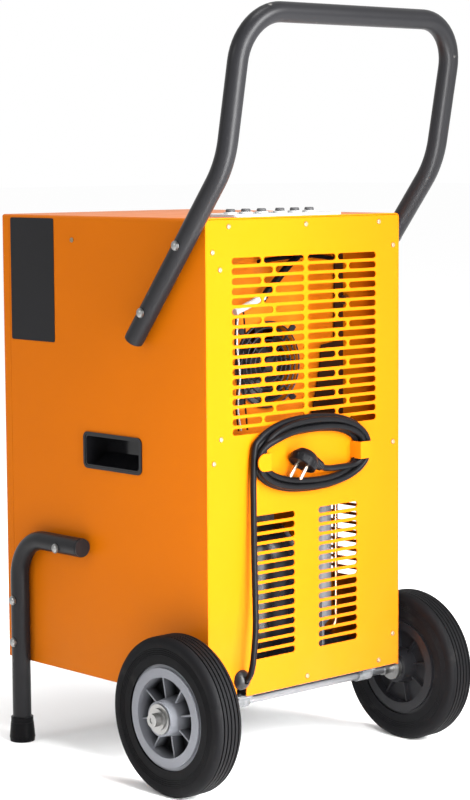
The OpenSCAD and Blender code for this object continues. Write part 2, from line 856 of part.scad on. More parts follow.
module water_tank() {
    color([0.8, 0.84, 0.86]) difference() {
        translate([-tank_x, tank_y0, 16.3]) cube([2 * tank_x, tank_y1 - tank_y0, 220]);
        difference() {
            translate([-tank_x + 3, tank_y0 + 3, 19.3])
                cube([2 * tank_x - 6, tank_y1 - tank_y0 - 6, 240]);
            // two ears that carry the float's pin
            for (x = [-97, -76]) translate([x, -42, 218]) cube([4, 30, 16]);
        }
        translate([-84, -34, 226]) rod_x(-20, 20, 3.05);
    }
}

module tank_front() {
    color([0.05, 0.05, 0.055]) difference() {
        union() {
            xz_plate(-hd - 2.5, 3) translate([0, 131]) rbox2(277.6, 231.6, 5);
            translate([-130, -hd + 0.4, 22]) cube([260, tank_y0 + hd - 0.45, 208]);
        }
        translate([-127, -hd + 0.5, 25]) cube([254, tank_y0 + hd, 202]);
        // finger slot and level window
        xz_plate(-hd - 5, 8) translate([0, 206]) rbox2(130, 34, 8);
        xz_plate(-hd - 5, 8) translate([104, 110]) rbox2(16, 130, 7.9);
    }
}

module tank_float() {
    color([0.9, 0.9, 0.88]) {
        translate([-104, -74, 192]) cube([40, 30, 16]);
        translate([-86, -50, 206]) cube([4, 4, 20]);
        translate([-86, -50, 223.5]) cube([4, 16, 4]);
        translate([-84, -34, 226]) rod_x(-12, 12, 3);
    }
}

module inlet_grille() {
    color([0.05, 0.05, 0.055]) difference() {
        union() {
            difference() {
                xz_plate(-hd - 4, 3.9) translate([0, 445]) rbox2(290, 250, 9);
                xz_plate(-hd - 6, 8) translate([0, 445]) rbox2(256, 216, 4);
            }
            difference() {
                xz_plate(-hd - 0.2, 10) translate([0, 445]) rbox2(274, 234, 5);
                xz_plate(-hd - 1, 12) translate([0, 445]) rbox2(256, 216, 4);
            }
            // sloping louvres
            for (i = [0:12]) translate([-130, -hd, 345 + i * 16.5]) rotate([-35, 0, 0])
                translate([0, -4, -1]) cube([260, 10, 2]);
            for (x = [-64, 0, 64]) translate([x - 1.5, -hd - 2, 338]) cube([3, 8, 214]);
        }
    }
}

module air_filter() {
    color([0.2, 0.21, 0.22]) {
        difference() {
            xz_plate(-hd + 10.2, 5) translate([0, 445]) square([268, 228], center = true);
            xz_plate(-hd + 9, 8) translate([0, 445]) square([256, 216], center = true);
        }
        for (i = [0:20]) translate([-129 + i * 12.9 - 0.5, -hd + 12, 336]) cube([1, 1, 218]);
        for (i = [0:16]) translate([-129, -hd + 12.4, 338 + i * 13.4]) cube([258, 1, 1]);
    }
}

// ---------- screws and the blank label ----------

module screw_y(x, z, big) {
    r = big ? 4 : 3.1;
    translate([x, 0, z]) {
        if (big) rod_y(hd, hd + 0.9, 6.2);
        intersection() {
            rod_y(hd + (big ? 0.8 : 0), hd + 5, r);
            translate([0, hd + (big ? -1.6 : -3.1), 0]) sphere(r = r * 1.38);
        }
        rod_y(hd - sheet - 0.2, hd + 0.5, 1.6);
    }
}

module panel_screws() {
    color([0.82, 0.8, 0.76]) {
        for (x = [-132, 0, 132]) {
            screw_y(x, 589.5, false);
            screw_y(x, 11, false);
        }
        for (x = [-158.8, 158.8]) for (z = [43, 300, 558.5]) screw_y(x, z, false);
        screw_y(146.6, 537, true);
        screw_y(146.6, 329, true);
        both() translate([0, -54, 568.6]) rotate([0, 0, -90]) translate([0, hw - hd, 0])
            screw_y(0, 0, false);
    }
}

module label_plate() {
    color([0.04, 0.04, 0.045]) {
        yz_plate(hw + 0.05, 0.7) translate([-138, 515]) rbox2(92, 162, 3);
    }
}

// ---------- assembly ----------

place() case_wrap();
place() rear_panel();
place() front_panel();
place() base_pan();
place() mid_deck();
place() tank_bay();
place() cord_hooks();
place() control_plate();
place() display_window();
place() push_button(0);  // button_1
place() push_button(1);  // button_2
place() push_button(2);  // button_3
place() push_button(3);  // button_4
place() push_button(4);  // button_5
place() push_button(5);  // button_6
place() push_handle();
place() handle_bolts();
place() leg_left();
place() leg_right();
place() leg_plugs();
place() foot_left();
place() foot_right();
place() leg_bolts();
place() axle();
place() axle_clamps();
place() tyre_left();
place() rim_left();
place() tyre_right();
place() rim_right();
place() axle_spacers();
place() axle_washers();
place() axle_nuts();
place() pocket_left();
place() pocket_right();
place() cord_gland();
place() cord_lead();
place() cord_coil();
place() plug_body();
place() plug_pins();
place() fan_blades();
place() fan_motor();
place() fan_guard();
place() fan_shroud();
place() evaporator();
place() condenser();
place() compressor();
place() compressor_mounts();
place() copper_pipes();
place() filter_drier();
place() drip_tray();
place() water_tank();
place() tank_front();
place() tank_float();
place() inlet_grille();
place() air_filter();
place() panel_screws();
place() label_plate();
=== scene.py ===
# %% [markdown]
# # A dehumidifier on wheels, dressed around its own CAD frame
# The real machine is a box of bent sheet steel on two rubber wheels and two bent
# tube legs, with a tube handle, rows of slots and a mains lead wound on two hooks.
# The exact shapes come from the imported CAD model. This lesson gives each of them a
# finish, and makes again the pieces that deserve more detail than a solid can hold.

import json
import math
import bpy
import bmesh
from mathutils import Matrix, Vector

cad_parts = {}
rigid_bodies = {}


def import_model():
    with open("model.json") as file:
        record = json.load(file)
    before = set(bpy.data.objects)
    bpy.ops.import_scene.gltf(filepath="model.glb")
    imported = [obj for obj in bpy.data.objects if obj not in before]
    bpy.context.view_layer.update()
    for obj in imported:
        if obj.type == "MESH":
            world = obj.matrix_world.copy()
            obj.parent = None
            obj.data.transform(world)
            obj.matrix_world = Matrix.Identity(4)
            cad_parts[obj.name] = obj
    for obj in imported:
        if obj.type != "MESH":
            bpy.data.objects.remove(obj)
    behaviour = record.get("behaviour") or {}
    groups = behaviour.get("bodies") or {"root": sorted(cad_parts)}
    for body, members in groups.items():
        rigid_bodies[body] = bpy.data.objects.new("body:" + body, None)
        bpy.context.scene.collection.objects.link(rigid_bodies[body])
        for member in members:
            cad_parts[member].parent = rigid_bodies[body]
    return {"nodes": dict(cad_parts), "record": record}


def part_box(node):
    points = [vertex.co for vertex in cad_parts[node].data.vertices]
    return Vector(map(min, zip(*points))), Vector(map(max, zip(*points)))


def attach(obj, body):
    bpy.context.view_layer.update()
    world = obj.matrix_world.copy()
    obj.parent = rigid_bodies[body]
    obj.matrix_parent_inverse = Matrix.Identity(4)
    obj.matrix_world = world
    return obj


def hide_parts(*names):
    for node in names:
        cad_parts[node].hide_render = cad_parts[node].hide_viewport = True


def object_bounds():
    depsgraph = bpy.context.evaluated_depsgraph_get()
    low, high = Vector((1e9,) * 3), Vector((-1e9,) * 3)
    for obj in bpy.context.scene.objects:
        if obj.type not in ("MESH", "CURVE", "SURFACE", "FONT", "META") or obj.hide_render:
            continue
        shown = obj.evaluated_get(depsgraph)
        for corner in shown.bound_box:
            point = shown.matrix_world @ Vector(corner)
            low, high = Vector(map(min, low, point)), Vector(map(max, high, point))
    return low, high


for leftover in list(bpy.data.objects):
    bpy.data.objects.remove(leftover)
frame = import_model()
cad_low, cad_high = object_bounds()
cad_nodes = frame["nodes"]
case_low, case_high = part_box("case_wrap")
REAR_FACE = 204.0  # the rear panel's outer face, from the case's middle, in mm
shift_y = case_high.y - REAR_FACE / 1000
shift_z = case_low.z


def at(x, y, z):
    """A point measured in millimetres from the case's own corner, as metres in the frame."""
    return Vector((x / 1000, y / 1000 + shift_y, z / 1000 + shift_z))


print("frame loaded:", len(cad_nodes), "nodes, box", cad_low, cad_high)

# %% [markdown]
# ## The camera
# A long lens seen from a rear corner keeps the upright edges nearly parallel. The
# camera is placed by its own axes, so that its small roll is kept exactly.

# %% Camera
VIEW_PLACE = Vector((2.00755, 2.20778, 0.77990))
VIEW_YAW, VIEW_PITCH, VIEW_ROLL = (math.radians(a) for a in (-137.410, -6.0575, -0.3575))
ahead = Vector((math.sin(VIEW_YAW) * math.cos(VIEW_PITCH),
                math.cos(VIEW_YAW) * math.cos(VIEW_PITCH), math.sin(VIEW_PITCH)))
level_right = ahead.cross(Vector((0, 0, 1))).normalized()
level_up = level_right.cross(ahead)
right = level_right * math.cos(VIEW_ROLL) + level_up * math.sin(VIEW_ROLL)
up = level_up * math.cos(VIEW_ROLL) - level_right * math.sin(VIEW_ROLL)
lens = bpy.data.cameras.new("studio_camera")
lens.lens = 102.41
lens.sensor_width = 36
lens.clip_end = 160
camera = bpy.data.objects.new("studio_camera", lens)
bpy.context.scene.collection.objects.link(camera)
camera.matrix_world = Matrix((
    (right.x, up.x, -ahead.x, VIEW_PLACE.x), (right.y, up.y, -ahead.y, VIEW_PLACE.y),
    (right.z, up.z, -ahead.z, VIEW_PLACE.z), (0, 0, 0, 1)))
bpy.context.scene.camera = camera
bpy.context.scene.view_settings.view_transform = "Standard"
print("camera at", tuple(round(c, 3) for c in VIEW_PLACE))

# %% [markdown]
# ## Finishes
# Every finish is a small network on Object coordinates: a broad noise shifts the
# colour, a middling one the roughness, and a fine one lifts the surface. Constants
# sit directly on the shader, so that they survive the export.

# %% A helper for finishes
def join(tree, a, b):
    tree.links.new(a, b)


def add(tree, kind, **settings):
    node = tree.nodes.new(kind)
    for name, value in settings.items():
        setattr(node, name, value)
    return node


def sum_node(tree, operation, a, b=None, clamp=False):
    node = add(tree, "ShaderNodeMath", operation=operation, use_clamp=clamp)
    for i, value in enumerate((a, b)):
        if value is None:
            continue
        if isinstance(value, (int, float)):
            node.inputs[i].default_value = value
        else:
            join(tree, value, node.inputs[i])
    return node.outputs[0]


def noise_on(tree, place, scale, detail=4.0, stretch=(1, 1, 1)):
    squash = add(tree, "ShaderNodeMapping")
    squash.inputs["Scale"].default_value = stretch
    join(tree, place, squash.inputs["Vector"])
    node = add(tree, "ShaderNodeTexNoise")
    node.inputs["Scale"].default_value = scale
    node.inputs["Detail"].default_value = detail
    join(tree, squash.outputs[0], node.inputs["Vector"])
    return node.outputs["Fac"]


def mixed(tree, factor, a, b):
    node = add(tree, "ShaderNodeMix", data_type="RGBA")
    for socket, value in ((node.inputs[0], factor), (node.inputs[6], a), (node.inputs[7], b)):
        if hasattr(value, "is_linked"):
            join(tree, value, socket)
        elif isinstance(value, (int, float)):
            socket.default_value = value
        else:
            socket.default_value = (*value, 1)
    return node.outputs[2]


def step_up(tree, value, low, high):
    node = add(tree, "ShaderNodeMapRange", interpolation_type="SMOOTHSTEP")
    join(tree, value, node.inputs[0])
    node.inputs[1].default_value, node.inputs[2].default_value = low, high
    return node.outputs[0]


def finish(name, colour, rough, metal=0.0, coat=0.0, drift=0.08, rough_drift=0.08, grain=(600, 0.00004),
           stretch=(1, 1, 1), specular=0.5, extra=None, marks=None):
    """marks = (colour, low, high, scale) lays scuffs over the colour; extra edits the colour last."""
    mat = bpy.data.materials.new(name)
    mat.use_nodes = True
    tree = mat.node_tree
    shader = tree.nodes["Principled BSDF"]
    place = add(tree, "ShaderNodeTexCoord").outputs["Object"]
    dark = tuple(c * (1 - drift) for c in colour)
    light = tuple(min(1.0, c * (1 + drift)) for c in colour)
    tint = mixed(tree, noise_on(tree, place, 7, 3), dark, light)
    if marks:
        scuff = step_up(tree, noise_on(tree, place, marks[3], 8), marks[1], marks[2])
        tint = mixed(tree, scuff, tint, marks[0])
    if extra:
        tint = extra(tree, place, tint)
    join(tree, tint, shader.inputs["Base Color"])
    spread = add(tree, "ShaderNodeMapRange")
    join(tree, noise_on(tree, place, 34, 5), spread.inputs[0])
    spread.inputs[3].default_value = max(0.02, rough - rough_drift)
    spread.inputs[4].default_value = min(1.0, rough + rough_drift)
    join(tree, spread.outputs[0], shader.inputs["Roughness"])
    shader.inputs["Metallic"].default_value = metal
    shader.inputs["Coat Weight"].default_value = coat
    shader.inputs["Coat Roughness"].default_value = 0.12
    shader.inputs["Specular IOR Level"].default_value = specular
    bump = add(tree, "ShaderNodeBump")
    bump.inputs["Strength"].default_value = 0.6
    bump.inputs["Distance"].default_value = grain[1]
    join(tree, noise_on(tree, place, grain[0], 2, stretch), bump.inputs["Height"])
    join(tree, bump.outputs[0], shader.inputs["Normal"])
    return mat


# %% [markdown]
# ### Where paint wears
# Sheet steel loses its paint first along the folds. On a box, the distance to the
# nearest fold is the middle one of the distances to its three pairs of faces.

# %% Paint with worn folds
def fold_wear(tree, place, tint):
    axes = add(tree, "ShaderNodeSeparateXYZ")
    join(tree, place, axes.inputs[0])
    mid_z = shift_z + 0.3
    gaps = []
    for out, middle, half in ((0, 0.0, 0.170), (1, shift_y, 0.204), (2, mid_z, 0.300)):
        away = sum_node(tree, "ABSOLUTE", sum_node(tree, "SUBTRACT", axes.outputs[out], middle))
        gaps.append(sum_node(tree, "ABSOLUTE", sum_node(tree, "SUBTRACT", away, half)))
    total = sum_node(tree, "ADD", sum_node(tree, "ADD", gaps[0], gaps[1]), gaps[2])
    most = sum_node(tree, "MAXIMUM", sum_node(tree, "MAXIMUM", gaps[0], gaps[1]), gaps[2])
    least = sum_node(tree, "MINIMUM", sum_node(tree, "MINIMUM", gaps[0], gaps[1]), gaps[2])
    fold = sum_node(tree, "SUBTRACT", sum_node(tree, "SUBTRACT", total, most), least)
    near = sum_node(tree, "SUBTRACT", 1.0, step_up(tree, fold, 0.0006, 0.003))
    chips = step_up(tree, noise_on(tree, place, 95, 6), 0.60, 0.68)
    worn = sum_node(tree, "MULTIPLY", sum_node(tree, "MULTIPLY", near, chips), 0.45)
    tint = mixed(tree, worn, tint, (0.30, 0.10, 0.015))
    low = sum_node(tree, "SUBTRACT", 1.0, step_up(tree, axes.outputs[2], shift_z, shift_z + 0.16))
    dust = sum_node(tree, "MULTIPLY", sum_node(tree, "MULTIPLY", low, noise_on(tree, place, 22, 6)), 0.10)
    return mixed(tree, dust, tint, (0.30, 0.17, 0.06))


def spangle(tree, place, tint):
    cells = add(tree, "ShaderNodeTexVoronoi")
    cells.inputs["Scale"].default_value = 130
    join(tree, place, cells.inputs["Vector"])
    shade = step_up(tree, cells.outputs["Distance"], 0.1, 0.8)
    return mixed(tree, sum_node(tree, "MULTIPLY", shade, 0.35), tint, (0.26, 0.27, 0.28))


def painted_recess_shade(tree, place, tint):
    """Painted shade between the ribs: the colour goes near black below the outer face of the ribs, so the web
    is dark and the rib edges stay pale; the wheel's inner face is darkened too.
    """
    axes = add(tree, "ShaderNodeSeparateXYZ")
    join(tree, place, axes.inputs[0])
    out = step_up(tree, sum_node(tree, "ABSOLUTE", axes.outputs[0]), 0.2035, 0.2205)
    return mixed(tree, out, (0.006, 0.006, 0.007), tint)


ORANGE = (0.40, 0.096, 0.0016)
finishes = {
    "paint": finish("orange_powder_coat", ORANGE, 0.34, drift=0.03, specular=0.03,
                    grain=(520, 0.00005), extra=fold_wear),
    "paint_rear": finish("orange_rear_coat", ORANGE, 0.36, drift=0.03, specular=0.03,
                         grain=(520, 0.00005), extra=fold_wear),
    "paint_inner": finish("orange_inner_coat", (0.40, 0.095, 0.002), 0.5, drift=0.08, specular=0.1,
                          marks=((0.20, 0.07, 0.02), 0.62, 0.8, 18)),
    "galvanised": finish("galvanised_sheet", (0.10, 0.103, 0.106), 0.50, metal=0.6, specular=0.2,
                         extra=spangle, grain=(300, 0.00004)),
    "black_tube": finish("black_tube_coat", (0.007, 0.007, 0.008), 0.36, specular=0.15, rough_drift=0.05,
                         grain=(900, 0.00003), marks=((0.10, 0.095, 0.09), 0.70, 0.76, 60)),
    "zinc": finish("bright_zinc", (0.24, 0.24, 0.235), 0.32, metal=1.0,
                   grain=(700, 0.00003), stretch=(1, 6, 1)),
    "screw_steel": finish("screw_steel", (0.20, 0.15, 0.09), 0.42, metal=0.6, specular=0.3,
                          grain=(900, 0.00003)),
    "axle_steel": finish("turned_axle_steel", (0.22, 0.225, 0.235), 0.34, metal=1.0,
                         grain=(800, 0.00004), stretch=(8, 1, 1)),
    "tyre_rubber": finish("tyre_rubber", (0.003, 0.003, 0.0035), 0.62, specular=0.07,
                          rough_drift=0.1, grain=(420, 0.0001),
                          marks=((0.014, 0.0135, 0.013), 0.60, 0.82, 40)),
    # The rim's recesses carry painted shade, near black by depth below the rib edges.
    "rim_plastic": finish("grey_rim_plastic", (0.13, 0.135, 0.15), 0.40, specular=0.2,
                          grain=(650, 0.00006), extra=painted_recess_shade),
    "black_rubber": finish("black_rubber", (0.003, 0.003, 0.0035), 0.40, specular=0.06, grain=(520, 0.00007)),
    "black_plastic": finish("black_moulded_plastic", (0.007, 0.007, 0.008), 0.34, specular=0.25,
                            grain=(700, 0.00006)),
    "gloss_black": finish("gloss_black_moulding", (0.005, 0.005, 0.006), 0.14, specular=0.25,
                          rough_drift=0.04, grain=(300, 0.00002)),
    "panel_plastic": finish("pale_control_plate", (0.34, 0.345, 0.35), 0.32, specular=0.2,
                            drift=0.03, grain=(800, 0.00003)),
    "display": finish("display_window", (0.008, 0.014, 0.016), 0.08, coat=0.8, rough_drift=0.02,
                      grain=(200, 0.00001)),
    "button": finish("button_rubber", (0.05, 0.05, 0.052), 0.45, specular=0.2, grain=(800, 0.00005)),
    "pin_brass": finish("plated_pins", (0.52, 0.43, 0.33), 0.30, metal=1.0, grain=(900, 0.00003)),
    "fan_black": finish("fan_black", (0.006, 0.006, 0.007), 0.42, specular=0.25, grain=(500, 0.00006)),
    "fins": finish("coil_fins", (0.66, 0.68, 0.70), 0.35, metal=0.9, grain=(900, 0.00006), stretch=(6, 1, 1)),
    "compressor_black": finish("compressor_paint", (0.006, 0.006, 0.007), 0.28, specular=0.25,
                               grain=(260, 0.00008)),
    "copper": finish("pipe_copper", (0.76, 0.36, 0.20), 0.28, metal=1.0,
                     marks=((0.28, 0.12, 0.07), 0.55, 0.8, 30)),
    "drier_grey": finish("drier_grey_paint", (0.13, 0.13, 0.14), 0.40, specular=0.2, grain=(500, 0.00004)),
    "tank_plastic": finish("tank_plastic", (0.72, 0.76, 0.78), 0.34, drift=0.04, grain=(400, 0.00006)),
    "filter_mesh": finish("filter_mesh", (0.10, 0.11, 0.12), 0.75, grain=(1500, 0.0001)),
    "label": finish("blank_label_film", (0.006, 0.006, 0.007), 0.40, specular=0.12, drift=0.12,
                    grain=(900, 0.00002)),
}
finishes["guard_wire"] = finish("guard_wire_steel", (0.022, 0.022, 0.024), 0.4, metal=0.7,
                                grain=(900, 0.00003))
finishes["cord_sheath"] = finish("cord_sheath", (0.0035, 0.0035, 0.004), 0.36, specular=0.07,
                                 rough_drift=0.06, grain=(700, 0.00005))
finishes["white_strap"] = finish("white_cable_sleeve", (0.36, 0.36, 0.35), 0.45, specular=0.2,
                                 grain=(600, 0.00006))
# Painted shade: the near-black brown of the sheet put where the slots look into shade.
finishes["dark_baffle"] = finish("dark_baffle_sheet", (0.022, 0.009, 0.004), 0.6, drift=0.2, specular=0.05,
                                 grain=(400, 0.00006))
node_slots = {s["node"]: s["material_slot"] for s in frame["record"]["subparts"]}
for node_name, cad_object in cad_nodes.items():
    coat_of_node = finishes["guard_wire" if node_name == "fan_guard" else node_slots[node_name]]
    if not cad_object.material_slots:
        cad_object.data.materials.append(coat_of_node)
    for material_slot in cad_object.material_slots:
        material_slot.material = coat_of_node
print("finishes made:", len(finishes))

# %% [markdown]
# ## The mains lead
# One length of 8 mm rubber cord leaves the gland low on the rear, climbs to the hooks,
# goes round them four and a half times in two layers, and comes back inside to the
# plug. Each turn is an oval whose four ends are given, so that the strands lie beside
# each other, and the only crossing is lifted clear.

# %% Route of the lead
CORD = 8.0
RISER = [(114.5, 206, 24), (114.6, 214, 26), (115.5, 221, 33), (116.5, 226, 44), (116, 228, 58),
         (114, 228, 74), (110.5, 226, 94), (107.5, 222.5, 120), (105.5, 219.5, 150), (104, 217, 185),
         (102.5, 215, 220), (101.6, 213.8, 250), (101.0, 213, 275)]
INNER, OUTER = 208.2, 216.0  # how far out the two layers lie
# top height, far end, bottom height, near end after it, then the layer at each of those
TURNS = [(345.5, -104.5, 254.5, 93.5, INNER, INNER, INNER, INNER),
         (337.5, -96.0, 263.0, 87.0, INNER, INNER, INNER, INNER),
         (329.5, -88.0, 266.0, 87.0, INNER, INNER, OUTER, OUTER),
         (342.0, -100.5, 257.5, 93.5, OUTER, OUTER, OUTER, OUTER),
         (333.5, -92.0, 266.0, 90.0, OUTER, OUTER, OUTER, OUTER)]
TAIL = [(-90.5, 216, 291), (-84.5, 215.6, 283), (-76, 215, 279), (-66, 215.4, 278.2), (-54, 216.6, 278.2),
        (-41, 218.6, 278.6), (-28, 221, 279.2), (-15, 223.4, 280.6), (-6, 224.3, 283.6)]
COIL_MIDDLE = (-7.0, 300.0)
OVAL = 2 / 2.25


def oval(value):
    return math.copysign(abs(value) ** OVAL, value)


def coil_points():
    points, near, layer = [], 100.0, 211.5
    for count, (top, far, bottom, near_next, *layers) in enumerate(TURNS):
        last = count == len(TURNS) - 1
        depths = [layer] + layers
        for tick in range(1 if count == 0 else 0, 12 if last else 24):
            turn = tick * 15
            c, s = math.cos(math.radians(turn)), math.sin(math.radians(turn))
            ends = far if c < 0 else (near if turn < 180 else near_next)
            x = COIL_MIDDLE[0] + abs(ends - COIL_MIDDLE[0]) * oval(c)
            z = COIL_MIDDLE[1] + abs((top if s >= 0 else bottom) - COIL_MIDDLE[1]) * oval(s)
            part, rest = divmod(turn, 90)
            ease = rest / 90
            ease = ease * ease * (3 - 2 * ease)
            y = depths[part] * (1 - ease) + depths[part + 1] * ease
            if last:
                y += 6.6 * math.exp(-((turn - 45) / 24) ** 2)
            z += 0.7 * math.sin(turn * 0.031 + count * 2.1)
            points.append((x, y, z))
        near, layer = near_next, layers[3]
    return points


def smooth_line(points, parts):
    """Catmull-Rom through the points, with that many parts to each span."""
    knots = [Vector(p) for p in points]
    knots = [2 * knots[0] - knots[1]] + knots + [2 * knots[-1] - knots[-2]]
    line = []
    for a, b, c, d in zip(knots, knots[1:], knots[2:], knots[3:]):
        for k in range(parts):
            t = k / parts
            line.append(0.5 * ((2 * b) + (c - a) * t + (2 * a - 5 * b + 4 * c - d) * t * t
                               + (3 * b - a - 3 * c + d) * t ** 3))
    return line + [knots[-2]]


lead_line = [at(*p) for p in smooth_line(RISER + coil_points() + TAIL, 4)]
lead_curve = bpy.data.curves.new("mains_lead", "CURVE")
lead_curve.dimensions = "3D"
lead_curve.bevel_depth = CORD / 2000
lead_curve.bevel_resolution = 4
lead_curve.use_fill_caps = True
strand = lead_curve.splines.new("POLY")
strand.points.add(len(lead_line) - 1)
for spot, place in zip(strand.points, lead_line):
    spot.co = (*place, 1)
lead_curve.materials.append(finishes["cord_sheath"])
mains_lead = bpy.data.objects.new("mains_lead", lead_curve)
bpy.context.scene.collection.objects.link(mains_lead)
for spline in lead_curve.splines:
    spline.use_smooth = True
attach(mains_lead, "machine")
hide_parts("cord_lead", "cord_coil")

# %% [markdown]
# ## Geometry Nodes helpers
# What repeats or follows a path is made by small trees with named sizes: a tube swept
# along a line, and a shape set on points. The result is turned into a plain mesh.

# %% Trees for sweeping and repeating
def linked_object(name, mesh):
    obj = bpy.data.objects.new(name, mesh)
    bpy.context.scene.collection.objects.link(obj)
    return obj


def tree_with(name, sockets):
    tree = bpy.data.node_groups.new(name, "GeometryNodeTree")
    tree.interface.new_socket("Geometry", in_out="INPUT", socket_type="NodeSocketGeometry")
    for label, kind, value in sockets:
        socket = tree.interface.new_socket(label, in_out="INPUT", socket_type=kind)
        if value is not None:
            socket.default_value = value
    tree.interface.new_socket("Geometry", in_out="OUTPUT", socket_type="NodeSocketGeometry")
    return tree, add(tree, "NodeGroupInput"), add(tree, "NodeGroupOutput")


def baked(tree, base, name, **sizes):
    """Runs the tree on base with its sizes set by socket identifier, and keeps a plain mesh."""
    modifier = base.modifiers.new("made", "NODES")
    modifier.node_group = tree
    for item in tree.interface.items_tree:
        if item.item_type == "SOCKET" and item.in_out == "INPUT":
            key = item.name.lower().replace(" ", "_")
            if key in sizes:
                modifier[item.identifier] = sizes[key]
    graph = bpy.context.evaluated_depsgraph_get()
    mesh = bpy.data.meshes.new_from_object(base.evaluated_get(graph), preserve_all_data_layers=True,
                                           depsgraph=graph)
    base.modifiers.clear()
    bpy.data.objects.remove(base)
    mesh.name = name
    return linked_object(name, mesh)


def sweep_tree():
    tree, into, out = tree_with("tube_along_a_line", [
        ("Radius", "NodeSocketFloat", 0.005), ("Sides", "NodeSocketInt", 16),
        ("Coat", "NodeSocketMaterial", None)])
    line, ring, tube = (add(tree, "GeometryNode" + k)
                        for k in ("MeshToCurve", "CurvePrimitiveCircle", "CurveToMesh"))
    soft, real, coat = (add(tree, "GeometryNode" + k)
                        for k in ("SetShadeSmooth", "RealizeInstances", "SetMaterial"))
    join(tree, into.outputs["Geometry"], line.inputs["Mesh"])
    join(tree, into.outputs["Radius"], ring.inputs["Radius"])
    join(tree, into.outputs["Sides"], ring.inputs["Resolution"])
    join(tree, line.outputs[0], tube.inputs["Curve"])
    join(tree, ring.outputs[0], tube.inputs["Profile Curve"])
    tube.inputs["Fill Caps"].default_value = True
    join(tree, tube.outputs[0], soft.inputs[0])
    join(tree, soft.outputs[0], real.inputs[0])
    join(tree, real.outputs[0], coat.inputs["Geometry"])
    join(tree, into.outputs["Coat"], coat.inputs["Material"])
    join(tree, coat.outputs[0], out.inputs[0])
    return tree


def repeat_tree():
    tree, into, out = tree_with("shape_on_points", [
        ("Shape", "NodeSocketObject", None), ("Facing", "NodeSocketVector", (0.0, 0.0, 0.0)),
        ("Turn Spread", "NodeSocketFloat", 0.0), ("Seed", "NodeSocketInt", 3),
        ("Coat", "NodeSocketMaterial", None)])
    info, chance, spin = (add(tree, k) for k in (
        "GeometryNodeObjectInfo", "FunctionNodeRandomValue", "ShaderNodeCombineXYZ"))
    own, face, turned = (add(tree, k) for k in ("FunctionNodeEulerToRotation", "FunctionNodeEulerToRotation",
                                                "FunctionNodeRotateRotation"))
    place, real, coat = (add(tree, "GeometryNode" + k)
                         for k in ("InstanceOnPoints", "RealizeInstances", "SetMaterial"))
    join(tree, into.outputs["Shape"], info.inputs[0])
    join(tree, into.outputs["Turn Spread"], chance.inputs[3])
    join(tree, into.outputs["Seed"], chance.inputs["Seed"])
    join(tree, chance.outputs[1], spin.inputs["Z"])
    join(tree, spin.outputs[0], own.inputs[0])
    join(tree, into.outputs["Facing"], face.inputs[0])
    join(tree, face.outputs[0], turned.inputs["Rotation"])
    join(tree, own.outputs[0], turned.inputs["Rotate By"])
    turned.rotation_space = "LOCAL"
    join(tree, into.outputs["Geometry"], place.inputs["Points"])
    join(tree, info.outputs["Geometry"], place.inputs["Instance"])
    join(tree, turned.outputs[0], place.inputs["Rotation"])
    join(tree, place.outputs[0], real.inputs[0])
    join(tree, real.outputs[0], coat.inputs["Geometry"])
    join(tree, into.outputs["Coat"], coat.inputs["Material"])
    join(tree, coat.outputs[0], out.inputs[0])
    return tree


TUBE, REPEAT = sweep_tree(), repeat_tree()


def swept(name, points, radius_mm, sides, coat):
    mesh = bpy.data.meshes.new(name + "_line")
    mesh.from_pydata([at(*p) for p in points], [(i, i + 1) for i in range(len(points) - 1)], [])
    return baked(TUBE, linked_object(name + "_line", mesh), name, radius=radius_mm / 1000, sides=sides,
                 coat=finishes[coat])


def fused(objects, name):
    """Several plain meshes as one, in the coat of the first part that has one.

    The repeating tree can leave an empty first slot, so every face is put on slot 0.
    """
    shell = bmesh.new()
    for obj in objects:
        shell.from_mesh(obj.data)
    coats = next(m for o in objects for m in o.data.materials if m)
    mesh = bpy.data.meshes.new(name)
    shell.to_mesh(mesh)
    shell.free()
    mesh.materials.append(coats)
    for face in mesh.polygons:
        face.material_index = 0
    for obj in objects:
        bpy.data.objects.remove(obj)
    return linked_object(name, mesh)


def settled(obj, slot, *stands_for, body="machine"):
    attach(obj, body)
    if stands_for:
        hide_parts(*stands_for)
    print(obj.name, len(obj.data.polygons), "faces")
    return obj


# %% [markdown]
# ## Handle and legs
# Each is one bent tube. A line with rounded corners is worked out first, and the
# sweeping tree lays the tube on it, so that the bends are as round as a bender's.

# %% Bent tubes
TUBE_X, TUBE_R, TUBE_SIDES = 182.8, 12.5, 32
KNEE_BEND, GRIP_BEND, LEG_BEND = 120, 60, 54
LEG_Y, LEG_FOOT, LEG_TOP, LEG_END = -159.3, -101.8, 171, -27.0


def rounded(corners, radii, parts=14):
    line = [Vector(corners[0])]
    for before, corner, after, radius in zip(corners, corners[1:], corners[2:], radii):
        before, corner, after = Vector(before), Vector(corner), Vector(after)
        back, on = (before - corner).normalized(), (after - corner).normalized()
        half = back.angle(on) / 2
        reach = radius / math.tan(half)
        middle = corner + (back + on).normalized() * (radius / math.sin(half))
        start, end = corner + back * reach - middle, corner + on * reach - middle
        sweep = start.angle(end)
        for k in range(parts + 1):
            t = k / parts
            arm = start * math.sin((1 - t) * sweep) + end * math.sin(t * sweep)
            line.append(middle + arm / math.sin(sweep))
    return line + [Vector(corners[-1])]


one_side = [(TUBE_X, 83.6, 447.5), (TUBE_X, 254.5, 665.5), (TUBE_X, 288.6, 844)]
other_side = [(-x, y, z) for x, y, z in reversed(one_side)]
handle_line = rounded(one_side + other_side, [KNEE_BEND, GRIP_BEND, GRIP_BEND, KNEE_BEND])
handle = swept("push_handle_tube", handle_line, TUBE_R, TUBE_SIDES, "black_tube")
settled(handle, "black_tube", "push_handle")
for side, sign in (("left", 1), ("right", -1)):
    leg_line = rounded([(sign * TUBE_X, LEG_Y, LEG_FOOT), (sign * TUBE_X, LEG_Y, LEG_TOP),
                        (sign * TUBE_X, LEG_END, LEG_TOP)], [LEG_BEND])
    leg = swept("leg_tube_" + side, leg_line, TUBE_R, TUBE_SIDES, "black_tube")
    settled(leg, "black_tube", "leg_" + side)

